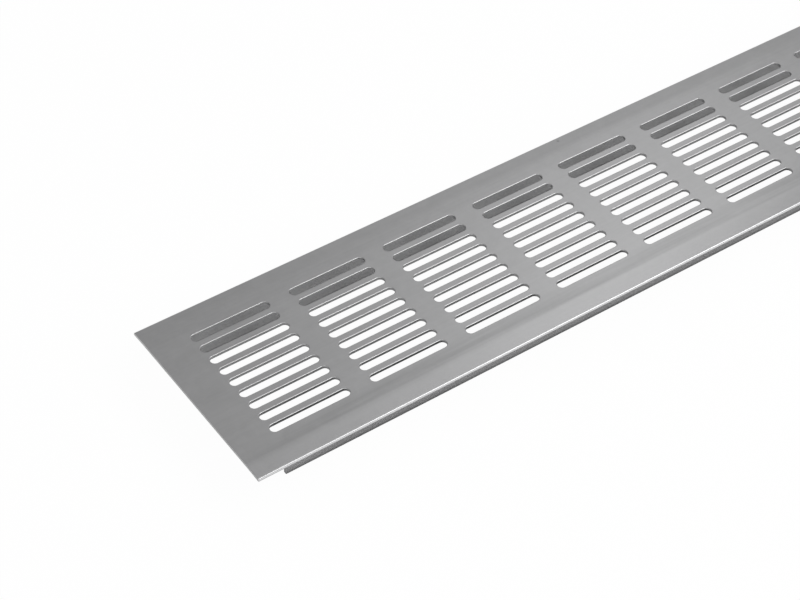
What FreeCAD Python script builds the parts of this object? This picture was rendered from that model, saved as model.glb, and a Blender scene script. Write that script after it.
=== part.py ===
import FreeCAD, Part
import math
import os

from FreeCAD import Vector

# Ventilation grille panel: one aluminium extrusion, a thin face plate carried on two
# full-height legs, punched with a field of round-ended air slots.
# Frame: X runs along the panel, Y across it, +Z up.  The origin lies under the middle
# of the panel, on the plane that its two feet stand on.  All sizes are in millimetres.

# --- overall sizes
PANEL_LENGTH = 480.0
PANEL_WIDTH = 100.8
PANEL_HEIGHT = 20.5

# --- face plate
PLATE_THICKNESS = 1.6
LIP_WIDTH = 8.6              # outer strip of the plate that falls away to the edge
LIP_DROP = 0.4               # how far the top of the edge lies under the flat face
CREASE_RADIUS = 80.0         # soft bend between the flat face and the lip, on top
UNDER_CREASE_RADIUS = 20.0   # the same bend on the underside
EDGE_TOP_RADIUS = 0.9
EDGE_BOTTOM_RADIUS = 0.4

# --- legs
LEG_THICKNESS = 1.5
LEG_LAND = 2.0               # flat underside between the lip's bend and the leg's outer face
LEG_ROOT_RADIUS = 0.8
FOOT_RADIUS = 0.5
LEG_END_SETBACK = 19.5       # the legs stop short of the plate's ends
LEG_CORNER_RADIUS = 0.5      # lower corner at each end of a leg
NOTCH_CLEARANCE = 0.3        # of the notching cut beside the leg's root

# --- slots
SLOT_LENGTH = 39.5
SLOT_WIDTH = 4.45
END_WEB = 11.0               # metal left between the ends of two slots in a row
SIDE_WEB = 3.4               # metal left between the sides of two slots in a column
FIELD_SHIFT = 0.8            # of the slot field across the plate, towards +Y
LEAST_END_MARGIN = 15.0      # from a slot's end to the end of the plate
LEAST_LEG_MARGIN = 3.0       # from a slot's side to the inner face of a leg

# --- worked out from the sizes above
HALF_LENGTH = PANEL_LENGTH / 2
HALF_WIDTH = PANEL_WIDTH / 2
PLATE_UNDERSIDE = PANEL_HEIGHT - PLATE_THICKNESS
CREASE_Y = HALF_WIDTH - LIP_WIDTH
LEG_OUTER_Y = CREASE_Y - LEG_LAND
LEG_INNER_Y = LEG_OUTER_Y - LEG_THICKNESS
LEG_END_X = HALF_LENGTH - LEG_END_SETBACK
COLUMN_PITCH = SLOT_LENGTH + END_WEB
ROW_PITCH = SLOT_WIDTH + SIDE_WEB
CUT_OVERRUN = 1.0            # how far a cutting tool passes the metal


def arc_at_corner(before, corner, after, radius):
    """Return the tangent arc's start, middle and end for one rounded corner."""
    back = (before - corner).normalize()
    ahead = (after - corner).normalize()
    half_angle = back.getAngle(ahead) / 2
    reach = radius / math.tan(half_angle)
    centre = corner + (back + ahead).normalize() * (radius / math.sin(half_angle))
    middle = centre + (corner - centre).normalize() * radius
    return corner + back * reach, middle, corner + ahead * reach


def rounded_face(corners):
    """Return a face from a closed run of (point, radius) corners; radius 0 is sharp."""
    count = len(corners)
    joints = []
    for index, (point, radius) in enumerate(corners):
        if radius > 0:
            before = corners[index - 1][0]
            after = corners[(index + 1) % count][0]
            joints.append(arc_at_corner(before, point, after, radius))
        else:
            joints.append((point, None, point))
    edges = []
    for index, (start, middle, end) in enumerate(joints):
        if middle is not None:
            edges.append(Part.Arc(start, middle, end).toShape())
        next_start = joints[(index + 1) % count][0]
        edges.append(Part.makeLine(end, next_start))
    return Part.Face(Part.Wire(edges))


def half_section():
    """Return the (y, z, radius) corners of the section from its top middle to its bottom middle."""
    edge_top = PANEL_HEIGHT - LIP_DROP
    return [
        (CREASE_Y, PANEL_HEIGHT, CREASE_RADIUS),
        (HALF_WIDTH, edge_top, EDGE_TOP_RADIUS),
        (HALF_WIDTH, edge_top - PLATE_THICKNESS, EDGE_BOTTOM_RADIUS),
        (CREASE_Y, PLATE_UNDERSIDE, UNDER_CREASE_RADIUS),
        (LEG_OUTER_Y, PLATE_UNDERSIDE, LEG_ROOT_RADIUS),
        (LEG_OUTER_Y, 0.0, FOOT_RADIUS),
        (LEG_INNER_Y, 0.0, FOOT_RADIUS),
        (LEG_INNER_Y, PLATE_UNDERSIDE, LEG_ROOT_RADIUS),
    ]


def extrusion():
    """Return the full-length bar: the section drawn once, mirrored, and carried along X."""
    half = half_section()
    mirrored = [(-y, z, radius) for y, z, radius in reversed(half)]
    corners = [(Vector(-HALF_LENGTH, y, z), radius) for y, z, radius in half + mirrored]
    return rounded_face(corners).extrude(Vector(PANEL_LENGTH, 0, 0))


def leg_notch(end, side):
    """Return the tool that cuts one leg back at one end (end and side are each +1 or -1)."""
    outer_x = HALF_LENGTH + CUT_OVERRUN
    start_y = LEG_INNER_Y - LEG_ROOT_RADIUS - NOTCH_CLEARANCE
    stop_y = LEG_OUTER_Y + LEG_ROOT_RADIUS + NOTCH_CLEARANCE
    corner = LEG_CORNER_RADIUS
    quarter = corner * (1 - math.sqrt(0.5))

    def point(x, z):
        return Vector(end * x, side * start_y, z)

    line_points = [
        point(LEG_END_X - corner, 0),
        point(LEG_END_X - corner, -CUT_OVERRUN),
        point(outer_x, -CUT_OVERRUN),
        point(outer_x, PLATE_UNDERSIDE),
        point(LEG_END_X, PLATE_UNDERSIDE),
        point(LEG_END_X, corner),
    ]
    edges = [Part.makeLine(a, b) for a, b in zip(line_points, line_points[1:])]
    bend = Part.Arc(line_points[-1], point(LEG_END_X - quarter, quarter), line_points[0])
    edges.append(bend.toShape())
    return Part.Face(Part.Wire(edges)).extrude(Vector(0, side * (stop_y - start_y), 0))


def evenly_spaced(room, width, pitch, middle):
    """Return the centres of as many features as the room holds, spaced about the middle."""
    gaps = int((room - width) / pitch)
    return [middle + (index - gaps / 2) * pitch for index in range(gaps + 1)]


def slot_centres():
    """Return the (x, y) middle of every slot: as many columns and rows as the plate holds."""
    room_along = PANEL_LENGTH - 2 * LEAST_END_MARGIN
    room_across = 2 * (LEG_INNER_Y - LEAST_LEG_MARGIN - abs(FIELD_SHIFT))
    columns = evenly_spaced(room_along, SLOT_LENGTH, COLUMN_PITCH, 0.0)
    rows = evenly_spaced(room_across, SLOT_WIDTH, ROW_PITCH, FIELD_SHIFT)
    return [(x, y) for x in columns for y in rows]


def slot_tool(x, y):
    """Return the punch for one round-ended slot, standing through the plate."""
    end_radius = SLOT_WIDTH / 2
    straight = SLOT_LENGTH / 2 - end_radius
    low = PLATE_UNDERSIDE - CUT_OVERRUN
    a = Vector(x - straight, y - end_radius, low)
    b = Vector(x + straight, y - end_radius, low)
    c = Vector(x + straight, y + end_radius, low)
    d = Vector(x - straight, y + end_radius, low)
    right_end = Part.Arc(b, Vector(x + SLOT_LENGTH / 2, y, low), c)
    left_end = Part.Arc(d, Vector(x - SLOT_LENGTH / 2, y, low), a)
    wire = Part.Wire([Part.makeLine(a, b), right_end.toShape(), Part.makeLine(c, d), left_end.toShape()])
    return Part.Face(wire).extrude(Vector(0, 0, PLATE_THICKNESS + 2 * CUT_OVERRUN))


def grille_panel():
    """Return the finished panel: extruded, notched at the leg ends and punched."""
    notches = [leg_notch(end, side) for end in (-1, 1) for side in (-1, 1)]
    punches = [slot_tool(x, y) for x, y in slot_centres()]
    bar = extrusion().cut(Part.makeCompound(notches))
    return bar.cut(Part.makeCompound(punches)).Solids[0]


os.makedirs("parts", exist_ok=True)
panel = grille_panel()
panel.exportStep("parts/grille_panel.step")
box = panel.BoundBox
print("solids", len(panel.Solids), "valid", panel.isValid(), "volume mm3", round(panel.Volume, 1))
print("size", round(box.XLength, 3), round(box.YLength, 3), round(box.ZLength, 3))
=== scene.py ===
import sys

import logging
import math
from dataclasses import dataclass, field
from enum import Enum
from typing import Any

import bpy
import numpy as np
from mathutils import Matrix, Vector


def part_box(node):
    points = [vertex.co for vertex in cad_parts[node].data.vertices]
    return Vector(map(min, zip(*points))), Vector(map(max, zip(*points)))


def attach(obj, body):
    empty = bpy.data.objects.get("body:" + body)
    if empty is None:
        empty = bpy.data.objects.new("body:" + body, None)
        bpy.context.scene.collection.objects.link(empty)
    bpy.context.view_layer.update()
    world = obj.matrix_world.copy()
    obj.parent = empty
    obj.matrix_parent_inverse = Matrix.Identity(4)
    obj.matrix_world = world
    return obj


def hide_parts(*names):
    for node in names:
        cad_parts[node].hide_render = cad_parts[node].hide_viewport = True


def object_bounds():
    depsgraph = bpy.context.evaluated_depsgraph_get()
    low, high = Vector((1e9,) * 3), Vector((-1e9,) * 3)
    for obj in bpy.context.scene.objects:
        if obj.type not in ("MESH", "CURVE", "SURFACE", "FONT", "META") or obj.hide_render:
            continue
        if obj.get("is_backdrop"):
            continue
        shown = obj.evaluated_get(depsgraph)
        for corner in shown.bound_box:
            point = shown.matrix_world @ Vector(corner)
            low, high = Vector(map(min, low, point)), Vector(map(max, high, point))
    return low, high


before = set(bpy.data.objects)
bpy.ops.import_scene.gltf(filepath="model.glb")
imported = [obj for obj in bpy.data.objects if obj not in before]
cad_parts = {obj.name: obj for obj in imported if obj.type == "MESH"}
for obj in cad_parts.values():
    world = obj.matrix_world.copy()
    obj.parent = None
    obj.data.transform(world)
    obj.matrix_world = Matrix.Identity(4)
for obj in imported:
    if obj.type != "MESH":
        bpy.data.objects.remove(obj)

# The looks of a slotted ventilation grille panel: one aluminium extrusion, a thin face plate
# on two long legs, punched with a field of round-ended air slots.  Every length is in metres
# in the CAD frame: X along the panel, Y across it, +Z up, the feet on z = 0.

LOG = logging.getLogger("grille")
Array = np.ndarray
Stretch = tuple[float, float, float]
MERGE_GRID = 1e-8           # points closer than this are one vertex
SLIVER = 1e-9               # a share or a cosine too small to matter
MASK_MIDDLE = 0.5           # the level that a noise mask swings about


class Side(Enum):
    """A long side of the panel, as the sign of its Y."""

    NEAR = -1
    FAR = 1


class Skin(Enum):
    """How a patch of the panel was made, which settles its finish and its material slot."""

    FACE = 0
    SHEARED = 1


@dataclass(frozen=True)
class Corner:
    """A corner of a section, across and up, with the radius that rounds it in so many steps."""

    y: float
    z: float
    radius: float = 0.0
    steps: int = 6


@dataclass(frozen=True)
class Path:
    """A run of section points with the outward normal at each, as (n, 2) arrays of y and z."""

    points: Array
    normals: Array

    def mirrored(self, side: Side) -> "Path":
        """Return the same run on the given side of the middle plane."""
        flip = np.array([side.value, 1.0])
        return Path(self.points * flip, self.normals * flip)


def rounded_path(corners: list[Corner]) -> Path:
    """Round a run of corners with tangent arcs.

    The direction of travel turns evenly through each corner.  At a direction d the arc's
    point is its centre less the radius times the left normal of d, and that left normal is
    the outward normal of the surface.

    Args:
        corners: The run, whose first and last corners are its ends and stay sharp.

    Returns:
        The rounded run, travelled so that the outside lies on its left.
    """
    at = np.array([[corner.y, corner.z] for corner in corners])
    legs = np.diff(at, axis=0)
    heading = np.arctan2(legs[:, 1], legs[:, 0])
    points, normals = [at[:1]], [left_normal(heading[:1])]
    for index, corner in enumerate(corners[1:-1]):
        before, after = heading[index], heading[index + 1]
        turn = (after - before + math.pi) % (2 * math.pi) - math.pi
        radius = math.copysign(corner.radius, turn)
        reach = corner.radius * math.tan(abs(turn) / 2)
        start = at[index + 1] - reach * np.array([math.cos(before), math.sin(before)])
        centre = start + radius * left_normal(before)
        swing = left_normal(before + turn * np.linspace(0.0, 1.0, corner.steps + 1))
        points.append(centre - radius * swing)
        normals.append(swing)
    points.append(at[-1:])
    normals.append(left_normal(heading[-1:]))
    return Path(np.concatenate(points), np.concatenate(normals))


def distinct(values: Array) -> Array:
    """Return the values in order, with those that fall together counted once."""
    ordered = np.sort(values, axis=None)
    return ordered[np.r_[True, np.diff(ordered) > MERGE_GRID]]


def left_normal(heading: Any) -> Array:
    """Return the unit vector a quarter turn to the left of each heading, in radians."""
    return np.stack([-np.sin(heading), np.cos(heading)], axis=-1)


@dataclass(frozen=True)
class Stations:
    """Places along X where a section is set down.

    At each one the section is drawn in by an inset, and its normals lean towards the panel's
    end: that rounds the plate's end edges.
    """

    x: Array
    inset: Array
    lean: Array

    def only(self, keep: Array) -> "Stations":
        """Return the stations that the mask keeps."""
        return Stations(self.x[keep], self.inset[keep], self.lean[keep])

    def carry(self, path: Path) -> tuple[Array, Array]:
        """Carry a section along the stations.

        A point is (x, section point less inset times its normal), and its normal is
        (sine of the lean, cosine of the lean times the section's normal).

        Args:
            path: The section to carry.

        Returns:
            Points and normals, each (stations, section points, 3).
        """
        inset = self.inset[:, None, None]
        flat = path.points[None] - inset * path.normals[None]
        along = np.broadcast_to(self.x[:, None, None], flat.shape[:2] + (1,))
        points = np.concatenate([along, flat], axis=2)
        tilt = np.cos(self.lean)[:, None, None] * path.normals[None]
        lean = np.broadcast_to(np.sin(self.lean)[:, None, None], tilt.shape[:2] + (1,))
        return points, np.concatenate([lean, tilt], axis=2)


@dataclass
class PatchWork:
    """A mesh put together from patches that share their border points."""

    points: list[Array] = field(default_factory=list)
    normals: list[Array] = field(default_factory=list)
    faces: list[tuple[Array, Skin]] = field(default_factory=list)
    count: int = 0

    def add(self, points: Array, normals: Array, faces: Array, skin: Skin) -> None:
        """Add a patch, turning its faces to agree with its normals.

        Args:
            points: (n, 3) places.
            normals: (n, 3) outward unit normals.
            faces: (m, k) corners of m faces with k corners each, as rows of points.
            skin: The finish of the patch.
        """
        ring = points[faces]
        step = np.roll(ring, -1, axis=1)
        area = np.cross(ring, step).sum(axis=1)
        inward = (area * normals[faces].mean(axis=1)).sum(axis=1) < 0
        faces = np.where(inward[:, None], faces[:, ::-1], faces)
        self.points.append(points)
        self.normals.append(normals)
        self.faces.append((faces + self.count, skin))
        self.count += len(points)

    def add_grid(self, points: Array, normals: Array, skin: Skin, closed: bool = False) -> None:
        """Add one or many grids of quads.

        Args:
            points: (..., rows, columns, 3) places; leading axes are separate grids.
            normals: Normals of the same shape.
            skin: The finish of the patch.
            closed: Whether the last column joins the first.
        """
        rows, columns = points.shape[-3:-1]
        grids = int(np.prod(points.shape[:-3], dtype=int))
        index = np.arange(grids * rows * columns).reshape(grids, rows, columns)
        after = np.roll(index, -1, axis=2)
        if not closed:
            index, after = index[:, :, :-1], after[:, :, :-1]
        quads = np.stack([index[:, :-1], after[:, :-1], after[:, 1:], index[:, 1:]], axis=-1)
        self.add(points.reshape(-1, 3), normals.reshape(-1, 3), quads.reshape(-1, 4), skin)

    def add_zip(self, first: tuple[Array, Array], second: tuple[Array, Array], skin: Skin) -> None:
        """Close the strip between two lines that run along X with different stations.

        The segments of both lines are taken in the order of their middles.  Each makes a
        triangle with the point of the other line that has been reached, which is the count
        of that line's middles already passed.

        Args:
            first: Points and normals of one line, each (n, 3), in order of X.
            second: Points and normals of the other line.
            skin: The finish of the strip.
        """
        a, b = first[0][:, 0], second[0][:, 0]
        middle_a, middle_b = (a[1:] + a[:-1]) / 2, (b[1:] + b[:-1]) / 2
        index_a, index_b = np.arange(len(a)), np.arange(len(b)) + len(a)
        reached_b = index_b[np.searchsorted(middle_b, middle_a, side="left")]
        reached_a = index_a[np.searchsorted(middle_a, middle_b, side="right")]
        from_a = np.stack([index_a[:-1], index_a[1:], reached_b], axis=1)
        from_b = np.stack([index_b[:-1], index_b[1:], reached_a], axis=1)
        points = np.concatenate([first[0], second[0]])
        normals = np.concatenate([first[1], second[1]])
        self.add(points, normals, np.concatenate([from_a, from_b]), skin)

    def add_polygon(self, points: Array, normal: tuple[float, float, float], skin: Skin) -> None:
        """Add one flat face whose outline is the given points in order."""
        normals = np.tile(np.array(normal), (len(points), 1))
        self.add(points, normals, np.arange(len(points))[None], skin)

    def build(self, name: str, materials: dict[Skin, bpy.types.Material]) -> bpy.types.Object:
        """Merge the patches' shared points and make the object.

        Args:
            name: The object's name.
            materials: The material of each skin.

        Returns:
            The new object, at the origin, with exact normals on every face corner.
        """
        points, normals = np.concatenate(self.points), np.concatenate(self.normals)
        grid = np.round(points / MERGE_GRID).astype(np.int64)
        _, first, vertex = np.unique(grid, axis=0, return_index=True, return_inverse=True)
        vertex = vertex.reshape(-1)
        faces, corner_normals, slots = [], [], []
        for patch, skin in self.faces:
            faces += vertex[patch].tolist()
            corner_normals.append(normals[patch].reshape(-1, 3))
            slots.append(np.full(len(patch), skin.value, dtype=np.int32))
        mesh = bpy.data.meshes.new(name)
        mesh.from_pydata(points[first].tolist(), [], faces)
        mesh.polygons.foreach_set("use_smooth", np.ones(len(faces), dtype=bool))
        mesh.polygons.foreach_set("material_index", np.concatenate(slots))
        mesh.normals_split_custom_set(np.concatenate(corner_normals).tolist())
        for skin in Skin:
            mesh.materials.append(materials[skin])
        mesh.update()
        piece = bpy.data.objects.new(name, mesh)
        bpy.context.scene.collection.objects.link(piece)
        return piece


@dataclass
class SlottedPanel:
    """The whole panel: face plate, lips, legs and slot field in one closed skin."""

    node: str = "grille_panel"
    plate_thickness: float = 0.0016
    lip_width: float = 0.0086
    lip_drop: float = 0.0004
    crease_radius: float = 0.080
    under_crease_radius: float = 0.020
    edge_top_radius: float = 0.0009
    edge_bottom_radius: float = 0.0004
    end_edge_radius: float = 0.0002
    leg_land: float = 0.0020
    leg_thickness: float = 0.0015
    leg_root_radius: float = 0.0008
    foot_radius: float = 0.0005
    leg_end_setback: float = 0.0195
    leg_corner_radius: float = 0.0005
    slot_length: float = 0.0395
    slot_width: float = 0.00445
    end_web: float = 0.0110
    side_web: float = 0.0034
    field_shift: float = 0.0008
    columns: int = 9
    rows: int = 9
    mouth_radius: float = 0.0004
    burr_radius: float = 0.00012
    breakout: float = 0.00025
    nose_steps: int = 8
    leg_root_steps: int = 6
    foot_steps: int = 5
    leg_corner_steps: int = 6
    end_edge_steps: int = 4
    slot_end_steps: int = 3
    slot_side_steps: int = 6
    burr_steps: int = 3
    mouth_steps: int = 6
    patches: PatchWork = field(default_factory=PatchWork)

    def __post_init__(self) -> None:
        """Take the overall sizes from the CAD node and work out the places."""
        low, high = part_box(self.node)
        self.half_length = (high.x - low.x) / 2
        self.half_width = (high.y - low.y) / 2
        self.top = high.z
        self.under = self.top - self.plate_thickness
        self.edge_middle = self.top - self.lip_drop - self.plate_thickness / 2
        self.crease_y = self.half_width - self.lip_width
        self.leg_outer = self.crease_y - self.leg_land
        self.leg_inner = self.leg_outer - self.leg_thickness
        self.foot_line = (self.leg_outer + self.leg_inner) / 2
        self.root_outer = self.leg_outer + self.leg_root_radius
        self.root_inner = self.leg_inner - self.leg_root_radius
        self.leg_end = self.half_length - self.leg_end_setback
        self.cell_x = (self.slot_length + self.end_web) / 2
        self.cell_y = (self.slot_width + self.side_web) / 2
        self.field_x = self.cell_x * self.columns
        half_field = self.cell_y * self.rows
        self.field_y = {side: self.field_shift + side.value * half_field for side in Side}

    def lip_path(self) -> Path:
        """Draw the section of one lip.

        Returns:
            The run from above the leg, out over the bend, round the nose and back to the
            leg's root.
        """
        edge = self.top - self.lip_drop
        return rounded_path([
            Corner(self.root_inner, self.top),
            Corner(self.crease_y, self.top, self.crease_radius),
            Corner(self.half_width, edge, self.edge_top_radius, self.nose_steps),
            Corner(
                self.half_width,
                edge - self.plate_thickness,
                self.edge_bottom_radius,
                self.nose_steps,
            ),
            Corner(self.crease_y, self.under, self.under_crease_radius),
            Corner(self.root_outer, self.under),
        ])

    def leg_path(self) -> Path:
        """Draw the section of one leg.

        Returns:
            The run down the leg's outer face, under its foot and up its inner face.
        """
        return rounded_path([
            Corner(self.root_outer + self.leg_root_radius, self.under),
            Corner(self.leg_outer, self.under, self.leg_root_radius, self.leg_root_steps),
            Corner(self.leg_outer, 0.0, self.foot_radius, self.foot_steps),
            Corner(self.leg_inner, 0.0, self.foot_radius, self.foot_steps),
            Corner(self.leg_inner, self.under, self.leg_root_radius, self.leg_root_steps),
            Corner(self.root_inner - self.leg_root_radius, self.under),
        ])

    def end_stations(self) -> Stations:
        """Round the plate's edge at the +X end.

        At lean a, x is the half-length less r (1 - sin a) and the inset is r (1 - cos a).

        Returns:
            The stations from the edge's start to the end face.
        """
        lean = np.linspace(0.0, math.pi / 2, self.end_edge_steps + 1)
        radius = self.end_edge_radius
        x = self.half_length - radius * (1 - np.sin(lean))
        return Stations(x, radius * (1 - np.cos(lean)), lean)

    def border_stations(self) -> Array:
        """Find where the slots' cells meet the strips beside the field.

        Returns:
            The x of every such point, in order.
        """
        border_x, _ = self.cell_border()
        column, _ = self.slot_middles()
        return distinct(np.add.outer(column, np.r_[border_x, -border_x]))

    def skin_stations(self) -> Array:
        """Choose the places of the lips' and legs' sections.

        Returns:
            The x of every cell's border points and of the legs' rounded end corners.
        """
        lean = np.linspace(0.0, math.pi / 2, self.leg_corner_steps + 1)
        corner = self.leg_end - self.leg_corner_radius * (1 - np.sin(lean))
        return distinct(np.r_[self.border_stations(), corner, -corner])

    def slot_angles(self) -> Array:
        """Choose the angles round the +X end of a slot.

        Returns:
            The angles from -90 to 90 degrees, in radians, with one each side whose ray meets
            the cell's corner.
        """
        reach = self.cell_x - (self.slot_length - self.slot_width) / 2
        corner = math.atan2(self.cell_y, reach)
        low = np.linspace(0.0, corner, self.slot_end_steps + 1)
        high = np.linspace(corner, math.pi / 2, self.slot_side_steps + 1)
        quarter = np.concatenate([low, high[1:]])
        return np.concatenate([-quarter[:0:-1], quarter])

    def cell_border(self) -> tuple[Array, Array]:
        """Find the border points of a slot's cell.

        Each is where the ray at its angle from the centre of the slot's round end leaves the
        cell's rectangle.

        Returns:
            The x and the y of the points, in order round the cell's +X half.
        """
        angle = self.slot_angles()
        centre = (self.slot_length - self.slot_width) / 2
        to_end = (self.cell_x - centre) / np.maximum(np.cos(angle), SLIVER)
        to_side = self.cell_y / np.maximum(np.abs(np.sin(angle)), SLIVER)
        ray = np.minimum(to_end, to_side)
        x, y = centre + ray * np.cos(angle), ray * np.sin(angle)
        x = np.where(to_end <= to_side * (1 + SLIVER), self.cell_x, x)
        y = np.where(to_side <= to_end * (1 + SLIVER), np.sign(angle) * self.cell_y, y)
        return x, y

    def slot_middles(self) -> tuple[Array, Array]:
        """Find the middles of the slots.

        Returns:
            The x of the columns and the y of the rows.
        """
        column = (np.arange(self.columns) - (self.columns - 1) / 2) * 2 * self.cell_x
        row = (np.arange(self.rows) - (self.rows - 1) / 2) * 2 * self.cell_y + self.field_shift
        return column, row

    def add_slots(self) -> None:
        """Add every slot with the cell of plate round it.

        Round the slot the surface runs with the angle; through it, it climbs from the cell's
        border on the underside, over a small burr radius, up the sheared wall, over the
        rounded mouth and out to the cell's border on top.  A ring is the slot's outline
        moved outwards by an offset: end centre plus (half width + offset) times the ray.
        The punch breaks out a little longer at both ends, so the rings under the wall have
        their end centres farther out, and the wall leans there by that over its height.
        """
        angle = self.slot_angles()
        centre = (self.slot_length - self.slot_width) / 2
        half = self.slot_width / 2
        ray = np.stack([np.cos(angle), np.sin(angle)], axis=1)
        ray = np.concatenate([ray, -ray])
        middle = np.repeat([centre, -centre], len(angle))
        border_x, border_y = self.cell_border()
        border = np.stack([np.r_[border_x, -border_x], np.r_[border_y, -border_y]], axis=1)
        burr = np.linspace(-math.pi / 2, 0.0, self.burr_steps + 1)
        mouth = np.linspace(0.0, math.pi / 2, self.mouth_steps + 1)
        profile = np.concatenate([
            self.burr_radius * np.stack([1 - np.cos(burr), 1 + np.sin(burr)], axis=1)
            + [0.0, self.under],
            self.mouth_radius * np.stack([1 - np.cos(mouth), np.sin(mouth) - 1], axis=1)
            + [0.0, self.top],
        ])
        swing = np.repeat(np.concatenate([burr, mouth])[:, None], len(ray), axis=1)
        wall = self.top - self.mouth_radius - self.under - self.burr_radius
        swing[len(burr) - 1 : len(burr) + 1] -= math.atan(self.breakout / wall) * np.abs(ray[:, 0])
        reach = half + profile[:, :1, None]
        longer = np.r_[np.full(len(burr), self.breakout), np.zeros(len(mouth))]
        longer = longer[:, None] * np.sign(middle)
        centres = np.stack([middle + longer, np.zeros_like(longer)], axis=-1)
        rings = np.concatenate([
            centres + reach * ray[None],
            np.broadcast_to(profile[:, 1, None, None], (len(profile), len(ray), 1)),
        ], axis=2)
        leaning = -np.cos(swing)[:, :, None] * ray[None]
        tilts = np.concatenate([leaning, np.sin(swing)[:, :, None]], axis=2)
        column, row = self.slot_middles()
        at = np.stack(np.meshgrid(column, row, [0.0], indexing="ij"), axis=-1).reshape(-1, 1, 1, 3)
        wall_top = len(burr)
        for rows, skin in (
            (slice(0, wall_top + 1), Skin.SHEARED),
            (slice(wall_top, None), Skin.FACE),
        ):
            points = at + rings[rows]
            self.patches.add_grid(points, np.broadcast_to(tilts[rows], points.shape), skin, True)
        for ring, height, up in ((rings[0], self.under, -1.0), (rings[-1], self.top, 1.0)):
            outer = np.c_[border, np.full(len(border), height)]
            flat = at + np.stack([ring, outer])
            normals = np.broadcast_to([0.0, 0.0, up], flat.shape)
            self.patches.add_grid(flat, normals, Skin.FACE, True)

    def flat_path(self, y: Array, z: float) -> Path:
        """Return a level run at the given y, facing up if it is the plate's top."""
        facing = 1.0 if z > self.under else -1.0
        return Path(np.c_[y, np.full(len(y), z)], np.tile([0.0, facing], (len(y), 1)))

    def add_plate(self) -> None:
        """Add the plate round the slot field: both lips, the strips beside the field, the ends."""
        end = self.end_stations()
        _, border_y = self.cell_border()
        _, row = self.slot_middles()
        lengthwise = self.with_ends(self.skin_stations())
        field_line = self.with_ends(self.border_stations())
        across = distinct(np.add.outer(row, border_y))
        lip = self.lip_path()
        beyond = np.abs(lengthwise.x) >= self.leg_end - MERGE_GRID
        for side in Side:
            self.patches.add_grid(*lengthwise.carry(lip.mirrored(side)), Skin.FACE)
            bridge = self.flat_path(np.array([self.root_outer, self.root_inner]), self.under)
            for end_sign in (-1, 1):
                past = lengthwise.only(beyond & (lengthwise.x * end_sign > 0))
                self.patches.add_grid(*past.carry(bridge.mirrored(side)), Skin.FACE)
            for z in (self.top, self.under):
                outer = self.flat_path(np.array([side.value * self.root_inner]), z)
                inner = self.flat_path(np.array([self.field_y[side]]), z)
                lines = [lengthwise.carry(outer), field_line.carry(inner)]
                lines = [(points[:, 0], normals[:, 0]) for points, normals in lines]
                self.patches.add_zip(*lines, Skin.FACE)
        for end_sign in (-1, 1):
            x = np.r_[self.field_x, end.x]
            margin = Stations(end_sign * x, np.r_[0.0, end.inset], end_sign * np.r_[0.0, end.lean])
            for z in (self.top, self.under):
                self.patches.add_grid(*margin.carry(self.flat_path(across, z)), Skin.FACE)
            self.add_end_face(end_sign, across, lip)

    def with_ends(self, x: Array) -> Stations:
        """Add the plate's rounded ends to a run of plain stations.

        Args:
            x: The places of the plain stations, in order.

        Returns:
            The whole run, from the one end face to the other.
        """
        end = self.end_stations()
        plain = np.zeros(len(x))
        return Stations(
            np.concatenate([-end.x[::-1], x, end.x]),
            np.concatenate([end.inset[::-1], plain, end.inset]),
            np.concatenate([-end.lean[::-1], plain, end.lean]),
        )

    def add_end_face(self, end_sign: int, across: Array, lip: Path) -> None:
        """Add the sawn face at one end of the plate, whose outline is the whole section.

        Args:
            end_sign: Which end, as the sign of its x.
            across: The y of the points along the plate's top and underside.
            lip: The section of one lip.
        """
        top, under = self.flat_path(across, self.top), self.flat_path(across[::-1], self.under)
        near, far = lip.mirrored(Side.NEAR), lip.mirrored(Side.FAR)
        far_root, near_root = (
            self.flat_path(np.array([side.value * self.root_inner]), self.under)
            for side in (Side.FAR, Side.NEAR)
        )
        back = Path(near.points[::-1], near.normals[::-1])
        runs = (top, far, far_root, under, near_root, back)
        section = Path(
            np.concatenate([run.points for run in runs]),
            np.concatenate([run.normals for run in runs]),
        )
        end = self.end_stations()
        last = Stations(end_sign * end.x[-1:], end.inset[-1:], end_sign * end.lean[-1:])
        points, _ = last.carry(section)
        self.patches.add_polygon(points[0], (float(end_sign), 0.0, 0.0), Skin.SHEARED)

    def add_legs(self) -> None:
        """Add both legs, whose lower end corners are rounded.

        Towards an end the section is squeezed up from its foot: a height z becomes
        z + lift (1 - z / H), with H the plate's underside and the lift r (1 - cos a) at the
        corner's lean a.
        """
        x = self.skin_stations()
        x = x[np.abs(x) < self.leg_end + MERGE_GRID]
        past = (np.abs(x) - self.leg_end) / self.leg_corner_radius + 1
        lean = np.sign(x) * np.arcsin(np.clip(past, 0.0, 1.0))
        lift = self.leg_corner_radius * (1 - np.cos(lean))
        path = self.leg_path()
        plain = Stations(x, np.zeros(len(x)), np.zeros(len(x)))
        for side in Side:
            open_run = Path(path.points[1:-1], path.normals[1:-1]).mirrored(side)
            points, normals = plain.carry(open_run)
            height = points[:, :, 2]
            at_foot = height < self.foot_radius + MERGE_GRID
            share = at_foot * np.abs(normals[:, :, 2])
            points[:, :, 2] = height + lift[:, None] * (1 - height / self.under)
            normals[:, :, 0] = np.sin(lean)[:, None] * share
            squeezed = -np.cos(lean)[:, None] * share
            normals[:, :, 2] = np.where(at_foot, squeezed, normals[:, :, 2])
            self.patches.add_grid(points, normals, Skin.FACE)
            for end_sign, outline in ((-1, points[0]), (1, points[-1])):
                self.patches.add_polygon(outline, (float(end_sign), 0.0, 0.0), Skin.SHEARED)

    def build(self, materials: dict[Skin, bpy.types.Material]) -> bpy.types.Object:
        """Args:
            materials: The material of each skin.

        Returns:
            The panel's object, which stands for the CAD node.
        """
        self.add_slots()
        self.add_plate()
        self.add_legs()
        piece = self.patches.build("slotted_panel", materials)
        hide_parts(self.node)
        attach(piece, "root")
        return piece


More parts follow.
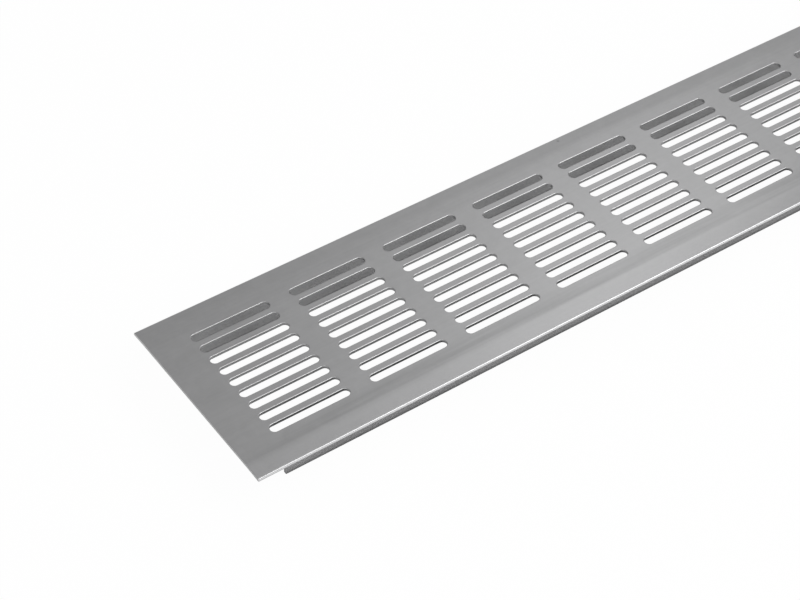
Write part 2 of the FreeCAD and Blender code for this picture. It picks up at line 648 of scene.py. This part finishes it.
@dataclass
class Sheet:
    """A node tree being wired."""

    tree: bpy.types.NodeTree

    def feed(self, socket: bpy.types.NodeSocket, value: Any) -> None:
        """Give a socket its value.

        Args:
            socket: The input to set.
            value: Another node's output, which is linked, or a constant.
        """
        if isinstance(value, bpy.types.NodeSocket):
            self.tree.links.new(value, socket)
        else:
            socket.default_value = value

    def place(self, kind: str, feeds: dict[Any, Any], **settings: Any) -> bpy.types.Node:
        """Add a node.

        Args:
            kind: The node's type, without the leading "ShaderNode".
            feeds: What goes into its inputs, by the input's name or number.
            **settings: The node's own properties.

        Returns:
            The new node.
        """
        node = self.tree.nodes.new(f"ShaderNode{kind}")
        for name, value in settings.items():
            setattr(node, name, value)
        for name, value in feeds.items():
            self.feed(node.inputs[name], value)
        return node

    def maths(self, operation: str, *values: Any, clamp: bool = False) -> bpy.types.NodeSocket:
        """Return the result of one Math node on the values, held to 0 to 1 if clamped."""
        node = self.place("Math", dict(enumerate(values)), operation=operation, use_clamp=clamp)
        return node.outputs[0]

    def ramp(
        self, value: Any, start: float, stop: float, low: Any = 0.0, high: Any = 1.0
    ) -> bpy.types.NodeSocket:
        """Ease from one level to another as a value runs from its start to its stop.

        Args:
            value: What is followed.
            start: Where the level is still low.
            stop: Where the level has become high.
            low: The level before the start.
            high: The level past the stop.

        Returns:
            The eased level.
        """
        feeds = {"Value": value, "From Min": start, "From Max": stop, "To Min": low, "To Max": high}
        return self.place("MapRange", feeds, interpolation_type="SMOOTHSTEP").outputs["Result"]

    def about_one(self, mask: bpy.types.NodeSocket, swing: float) -> bpy.types.NodeSocket:
        """Return 1 plus the swing times how far a mask is from its middle."""
        return self.maths("MULTIPLY_ADD", mask, swing, 1 - swing * MASK_MIDDLE)


@dataclass(frozen=True)
class MetalGrain:
    """The shared effect: the fine grain that working leaves on metal, and a cloudy unevenness.

    Its group takes the coordinates, a stretch for each axis (low along the grain), and how
    fine the clouds are, and gives out two masks about a half: Grain and Cloud.
    """

    name: str = "metal_grain"
    grain_detail: float = 4.0
    cloud_detail: float = 5.0
    cloud_crispness: float = 0.72
    cloud_distortion: float = 0.6

    def group(self) -> bpy.types.NodeTree:
        """Return the node group, which is built the first time it is asked for.

        Returns:
            The group, whose grain is a noise stretched along one axis and whose cloud is a
            noise of its own size, bent out of line by its distortion.
        """
        if self.name in bpy.data.node_groups:
            return bpy.data.node_groups[self.name]
        made = bpy.data.node_groups.new(self.name, "ShaderNodeTree")
        for label in ("Coordinates", "Stretch"):
            made.interface.new_socket(label, in_out="INPUT", socket_type="NodeSocketVector")
        made.interface.new_socket("Cloud Scale", in_out="INPUT", socket_type="NodeSocketFloat")
        for label in ("Grain", "Cloud"):
            made.interface.new_socket(label, in_out="OUTPUT", socket_type="NodeSocketFloat")
        sheet = Sheet(made)
        given = made.nodes.new("NodeGroupInput").outputs
        result = made.nodes.new("NodeGroupOutput").inputs
        feeds = {0: given["Coordinates"], 1: given["Stretch"]}
        drawn = sheet.place("VectorMath", feeds, operation="MULTIPLY").outputs["Vector"]
        grain = sheet.place("TexNoise", {
            "Vector": drawn,
            "Scale": 1.0,
            "Detail": self.grain_detail,
        })
        cloud = sheet.place("TexNoise", {
            "Vector": given["Coordinates"],
            "Scale": given["Cloud Scale"],
            "Detail": self.cloud_detail,
            "Roughness": self.cloud_crispness,
            "Distortion": self.cloud_distortion,
        })
        sheet.feed(result["Grain"], grain.outputs["Fac"])
        sheet.feed(result["Cloud"], cloud.outputs["Fac"])
        return made

    def place(
        self, sheet: Sheet, place: bpy.types.NodeSocket, stretch: Stretch, cloud_scale: float
    ) -> tuple[bpy.types.NodeSocket, bpy.types.NodeSocket]:
        """Put the effect in a material.

        Args:
            sheet: The material's nodes.
            place: The coordinates that the effect follows.
            stretch: How finely it varies along each axis.
            cloud_scale: How finely the clouds vary.

        Returns:
            The grain and the cloud, each a mask about a half.
        """
        effect = sheet.tree.nodes.new("ShaderNodeGroup")
        effect.node_tree = self.group()
        feeds = {"Coordinates": place, "Stretch": stretch, "Cloud Scale": cloud_scale}
        for name, value in feeds.items():
            sheet.feed(effect.inputs[name], value)
        return effect.outputs["Grain"], effect.outputs["Cloud"]


@dataclass(frozen=True)
class PaintedLightAndNick:
    """Where the drawn face is darker or brighter than its plain colour.

    A streak of painted shade runs over each leg's root: it rises slowly on the inner side of
    the leg and stops short at the lip's bend.  It shows more over the near leg, and less
    towards the panel's ends.  There is one small nick.  The feet are darker along their lowest
    strip, a painted shade where they meet the floor, and the plate's two long edges carry a
    painted highlight, from the middle of their height up.
    """

    leg_inner: float
    crease_y: float
    edge_y: float
    edge_middle: float
    half_length: float
    fade: float = 0.009
    bend_fade: float = 0.0018
    end_fade: float = 0.07
    end_share: float = 0.35
    streak: float = 0.11
    far_share: float = 0.3
    streak_noise_stretch: Stretch = (16.0, 420.0, 420.0)
    streak_noise_scale: float = 30.0
    streak_noise_swing: float = 3.2
    nick_at: tuple[float, float] = (-0.0083, 0.0478)
    nick_size: float = 0.0011
    nick: float = 0.35
    foot_shade_height: float = 0.0026
    foot: float = 0.5
    edge_highlight_starts: float = 0.0002
    edge_highlight_full: float = 0.00004
    edge_highlight_blend: float = 0.0002
    edge_highlight: float = 1.0

    def mask(self, sheet: Sheet, place: bpy.types.NodeSocket) -> bpy.types.NodeSocket:
        """Work out what the colour is multiplied by.

        Args:
            sheet: The material's nodes.
            place: The coordinates in the panel's frame.

        Returns:
            The multiplier: 1 on plain metal, less under the painted shade and at the nick, and
            more under the painted highlight.
        """
        along = sheet.place("SeparateXYZ", {0: place}).outputs
        across = sheet.maths("ABSOLUTE", along["Y"])
        streaks = self.streaks(sheet, place, along, across)
        lost = sheet.maths("ADD", streaks, self.mark(sheet, along))
        # Painted shade: the lowest strip of each foot is darker, where it meets the floor.
        foot = sheet.ramp(along["Z"], 0.0, self.foot_shade_height, self.foot, 0.0)
        # Painted highlight: the upper half of each long edge's rounded nose is brighter.
        upper = sheet.ramp(
            along["Z"],
            self.edge_middle - self.edge_highlight_blend,
            self.edge_middle + self.edge_highlight_blend,
            0.0,
            self.edge_highlight,
        )
        toward_edge = sheet.ramp(across, self.edge_y - self.edge_highlight_starts, self.edge_y - self.edge_highlight_full)
        edge_highlighted = sheet.maths("MULTIPLY_ADD", upper, toward_edge, 1.0)
        return sheet.maths("SUBTRACT", edge_highlighted, sheet.maths("ADD", lost, foot))

    def streaks(
        self,
        sheet: Sheet,
        place: bpy.types.NodeSocket,
        along: Any,
        across: bpy.types.NodeSocket,
    ) -> bpy.types.NodeSocket:
        """Work out the dark streaks over the legs' roots.

        Args:
            sheet: The material's nodes.
            place: The coordinates in the panel's frame.
            along: Their three parts.
            across: The distance from the panel's middle plane.

        Returns:
            How much of the colour the streaks take.
        """
        # Painted shade: a darker streak over each leg's root, standing in for the shading of the
        # surface there, made uneven by a noise.
        rising = sheet.ramp(across, self.leg_inner - self.fade, self.leg_inner)
        falling = sheet.ramp(across, self.crease_y - self.bend_fade, self.crease_y, 1.0, 0.0)
        far_depth = self.streak * self.far_share
        depth = sheet.ramp(along["Y"], -self.leg_inner, self.leg_inner, self.streak, far_depth)
        from_end = sheet.maths("SUBTRACT", self.half_length, sheet.maths("ABSOLUTE", along["X"]))
        fainter = sheet.ramp(from_end, 0.0, self.end_fade, self.end_share, 1.0)
        streak_noise, _ = MetalGrain().place(sheet, place, self.streak_noise_stretch, self.streak_noise_scale)
        uneven = sheet.about_one(streak_noise, self.streak_noise_swing)
        depth = sheet.maths("MULTIPLY", sheet.maths("MULTIPLY", depth, fainter), uneven)
        return sheet.maths("MULTIPLY", sheet.maths("MULTIPLY", rising, falling), depth)

    def mark(self, sheet: Sheet, along: Any) -> bpy.types.NodeSocket:
        """Work out the nick, a soft round spot by its distance from its middle.

        Args:
            sheet: The material's nodes.
            along: The three parts of the coordinates.

        Returns:
            How much of the colour the nick takes.
        """
        off = [
            sheet.maths("POWER", sheet.maths("SUBTRACT", along[axis], middle), 2.0)
            for axis, middle in zip("XY", self.nick_at)
        ]
        distance = sheet.maths("SQRT", sheet.maths("ADD", *off))
        return sheet.ramp(distance, 0.0, self.nick_size, self.nick, 0.0)


@dataclass(frozen=True)
class Aluminium:
    """An anodised aluminium finish: a grain in one direction over a cloudy satin.

    The colour and the roughness both follow the cloud and a share of the grain.
    """

    name: str
    colour: tuple[float, float, float] = (0.42, 0.42, 0.424)
    roughness: float = 0.30
    stretch: Stretch = (5.0, 700.0, 700.0)
    cloud_scale: float = 110.0
    grain_share: float = 0.5
    tint_swing: float = 0.2
    roughness_swing: float = 0.05
    bump_depth: float = 0.000002
    painted_light_and_nick: PaintedLightAndNick | None = None

    def material(self) -> bpy.types.Material:
        """Build the finish.

        Returns:
            The material, all metal, with the grain as a very shallow bump.
        """
        made = bpy.data.materials.new(self.name)
        made.use_nodes = True
        shader = made.node_tree.nodes["Principled BSDF"].inputs
        sheet = Sheet(made.node_tree)
        place = sheet.place("TexCoord", {}).outputs["Object"]
        grain, cloud = MetalGrain().place(sheet, place, self.stretch, self.cloud_scale)
        share = self.grain_share
        fine = sheet.maths("MULTIPLY_ADD", grain, share, -share * MASK_MIDDLE)
        both = sheet.maths("ADD", fine, sheet.maths("SUBTRACT", cloud, MASK_MIDDLE))
        kept = sheet.maths("MULTIPLY_ADD", both, self.tint_swing, 1.0)
        # The colour is scaled by the painted shade, the painted highlight and the nick.
        if self.painted_light_and_nick is not None:
            kept = sheet.maths("MULTIPLY", kept, self.painted_light_and_nick.mask(sheet, place))
        colour = sheet.place("VectorMath", {0: self.colour, "Scale": kept}, operation="SCALE")
        bump = sheet.place("Bump", {
            "Height": grain,
            "Strength": 1.0,
            "Distance": self.bump_depth,
        })
        rough = sheet.maths("MULTIPLY_ADD", both, self.roughness_swing, self.roughness)
        sheet.feed(shader["Base Color"], colour.outputs["Vector"])
        sheet.feed(shader["Metallic"], 1.0)
        sheet.feed(shader["Roughness"], rough)
        sheet.feed(shader["Normal"], bump.outputs["Normal"])
        return made


def towards(heading: float, elevation: float) -> Vector:
    """Turn a heading and an elevation into a direction.

    Args:
        heading: The turn from +Y towards +X, in degrees.
        elevation: The rise above the level, in degrees.

    Returns:
        The unit vector (sin h cos e, cos h cos e, sin e).
    """
    turn, rise = math.radians(heading), math.radians(elevation)
    level = math.cos(rise)
    return Vector((math.sin(turn) * level, math.cos(turn) * level, math.sin(rise)))


@dataclass(frozen=True)
class Softbox:
    """A round studio lamp aimed at the panel, sized by how wide it looks from there."""

    name: str
    heading: float
    elevation: float
    spread: float
    radiance: float
    distance: float = 2.5

    def hang(self, target: Vector) -> None:
        """Hang the lamp over its target.

        The spread is half the lamp's width as an angle, in degrees.  A disk of area A gives
        off the radiance L at the power 4 A L.

        Args:
            target: The point that the lamp faces.
        """
        away = towards(self.heading, self.elevation)
        radius = self.distance * math.tan(math.radians(self.spread))
        lamp = bpy.data.lights.new(self.name, "AREA")
        lamp.shape = "DISK"
        lamp.size = 2 * radius
        lamp.energy = 4 * math.pi * radius**2 * self.radiance
        hung = bpy.data.objects.new(self.name, lamp)
        bpy.context.scene.collection.objects.link(hung)
        hung.location = target + away * self.distance
        hung.rotation_euler = (-away).to_track_quat("-Z", "Y").to_euler()
        hung.visible_camera = False


@dataclass(frozen=True)
class PaleFloor:
    """A wide pale floor that is near white where it is looked at, and keeps the panel's shade.

    The foot line is how far the middle of each foot lies from the panel's own middle.
    """

    foot_line: float
    half_size: float = 15.0
    drop: float = 0.00005
    colour: float = 0.88
    seen_white: float = 0.97
    foot_reach: float = 0.003
    shade_reach: float = 0.02
    inside_glow: float = 0.17

    def lay(self) -> None:
        """Lay the floor just under the feet."""
        half = self.half_size
        mesh = bpy.data.meshes.new("floor")
        corners = [(-half, -half, 0.0), (half, -half, 0.0), (half, half, 0.0), (-half, half, 0.0)]
        mesh.from_pydata(corners, [], [(0, 1, 2, 3)])
        mesh.materials.append(self.material())
        floor = bpy.data.objects.new("floor", mesh)
        floor.location.z = -self.drop
        bpy.context.scene.collection.objects.link(floor)
        floor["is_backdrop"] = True

    def clear_of_panel(self, sheet: Sheet) -> bpy.types.NodeSocket:
        """Work out how clear of the panel's shade the floor is.

        Between the feet, under the slots, it rises to a share of its own, a painted glow in the
        panel's shade.  Outside the panel's outline it rises to 1, by the distance from its box.

        Args:
            sheet: The floor's nodes.

        Returns:
            The clearness, from 0 at the feet to 1.
        """
        low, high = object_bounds()
        place = sheet.place("TexCoord", {}).outputs["Object"]
        parts = sheet.place("SeparateXYZ", {0: place}).outputs
        from_middle = {axis: sheet.maths("ABSOLUTE", parts[axis]) for axis in "XY"}
        outside = []
        for axis, half in (("X", (high.x - low.x) / 2), ("Y", (high.y - low.y) / 2)):
            past = sheet.maths("SUBTRACT", from_middle[axis], half)
            outside.append(sheet.maths("POWER", sheet.maths("MAXIMUM", past, 0.0), 2.0))
        distance = sheet.maths("SQRT", sheet.maths("ADD", *outside))
        open_floor = sheet.ramp(distance, 0.0, self.shade_reach)
        # Painted glow: between the feet the floor glows a little for the panel's reflections.
        inwards = sheet.maths("SUBTRACT", self.foot_line, from_middle["Y"])
        between = sheet.ramp(inwards, 0.0, self.foot_reach, 0.0, self.inside_glow)
        return sheet.maths("MAXIMUM", open_floor, between)

    def material(self) -> bpy.types.Material:
        """Build the finish: matt, with a white glow for the rays that look at the floor.

        The panel's own reflections show the floor as it is lit close to the panel, where it
        lies in the panel's shade, with a painted glow between the feet, and white farther off.

        Returns:
            The material.
        """
        made = bpy.data.materials.new("pale_floor")
        made.use_nodes = True
        sheet = Sheet(made.node_tree)
        made.node_tree.nodes.remove(made.node_tree.nodes["Principled BSDF"])
        matt = sheet.place("BsdfDiffuse", {"Color": (self.colour,) * 3 + (1.0,)})
        glow = sheet.place("Emission", {"Strength": 1.0})
        path = sheet.place("LightPath", {}).outputs
        reflected = sheet.maths("MULTIPLY", path["Is Glossy Ray"], self.clear_of_panel(sheet))
        looked_at = sheet.maths("ADD", path["Is Camera Ray"], path["Is Transmission Ray"])
        seen = sheet.maths("ADD", looked_at, reflected, clamp=True)
        share = sheet.maths("MULTIPLY", seen, self.seen_white)
        mix = sheet.place("MixShader", {0: share, 1: matt.outputs[0], 2: glow.outputs[0]})
        sheet.feed(made.node_tree.nodes["Material Output"].inputs["Surface"], mix.outputs[0])
        return made


@dataclass(frozen=True)
class Studio:
    """The pale floor and the plain soft light round the panel."""

    floor: PaleFloor
    room_level: float = 0.52
    lamps: tuple[Softbox, ...] = (
        Softbox("key", 48.0, 47.0, 6.0, 0.97),
        Softbox("high_fill", 48.0, 62.0, 12.0, 0.29),
        Softbox("side_fill", 40.0, 42.0, 12.0, 0.15),
        Softbox("rim", 120.0, 50.0, 20.0, 1.5),
        Softbox("low_rim", 150.0, 38.0, 18.0, 1.9),
        Softbox("front_fill", 215.0, 45.0, 28.0, 0.7),
    )

    def light_room(self) -> None:
        """Fill the room with an even white light."""
        world = bpy.data.worlds.new("room")
        world.use_nodes = True
        background = world.node_tree.nodes["Background"]
        background.inputs["Color"].default_value = (1.0, 1.0, 1.0, 1.0)
        background.inputs["Strength"].default_value = self.room_level
        bpy.context.scene.world = world

    def build(self) -> None:
        """Set the studio up round the panel."""
        low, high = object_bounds()
        self.floor.lay()
        self.light_room()
        for lamp in self.lamps:
            lamp.hang((low + high) / 2)
        bpy.context.scene.view_settings.view_transform = "Standard"


@dataclass(frozen=True)
class ViewCamera:
    """The camera, aimed at a point on the panel's top face and looking down along it."""

    aim_along: float = -0.13351
    aim_across: float = 0.00156
    distance: float = 0.89281
    heading: float = 36.0637
    elevation: float = 44.6338
    roll: float = 1.2851
    lens: float = 91.237
    sensor: float = 36.0
    sees_from: float = 0.01
    sees_to: float = 100.0

    def place(self) -> None:
        """Place the camera and make it the scene's own.

        It looks towards its heading and down by its elevation.  Its right is level, then
        turned about the line of sight by the roll.
        """
        low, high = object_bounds()
        middle = (low + high) / 2
        aim = Vector((middle.x + self.aim_along, middle.y + self.aim_across, high.z))
        forward = towards(self.heading, -self.elevation)
        heading = math.radians(self.heading)
        right = Vector((math.cos(heading), -math.sin(heading), 0.0))
        right.rotate(Matrix.Rotation(-math.radians(self.roll), 3, forward))
        upward = right.cross(forward)
        data = bpy.data.cameras.new("camera")
        data.lens, data.sensor_width = self.lens, self.sensor
        data.clip_start, data.clip_end = self.sees_from, self.sees_to
        camera = bpy.data.objects.new("camera", data)
        bpy.context.scene.collection.objects.link(camera)
        placed = Matrix((right, upward, -forward)).transposed().to_4x4()
        placed.translation = aim - forward * self.distance
        camera.matrix_world = placed
        bpy.context.scene.camera = camera


def main() -> None:
    """Build the panel, the studio and the camera, and report each piece."""
    logging.basicConfig(level=logging.INFO, format="%(name)s: %(message)s", stream=sys.stdout)
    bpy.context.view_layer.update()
    panel = SlottedPanel()
    # The drawn face's painted shade and painted highlight, and its one nick.
    painted_light_and_nick = PaintedLightAndNick(
        leg_inner=panel.leg_inner,
        crease_y=panel.crease_y,
        edge_y=panel.half_width,
        edge_middle=panel.edge_middle,
        half_length=panel.half_length,
    )
    drawn = Aluminium("drawn_satin_aluminium", painted_light_and_nick=painted_light_and_nick)
    sheared = Aluminium("sheared_aluminium", roughness=0.36, stretch=(1500.0, 1500.0, 120.0))
    piece = panel.build({Skin.FACE: drawn.material(), Skin.SHEARED: sheared.material()})
    LOG.info("%s: %d faces", piece.name, len(piece.data.polygons))
    Studio(PaleFloor(panel.foot_line)).build()
    ViewCamera().place()


if __name__ == "__main__":
    main()
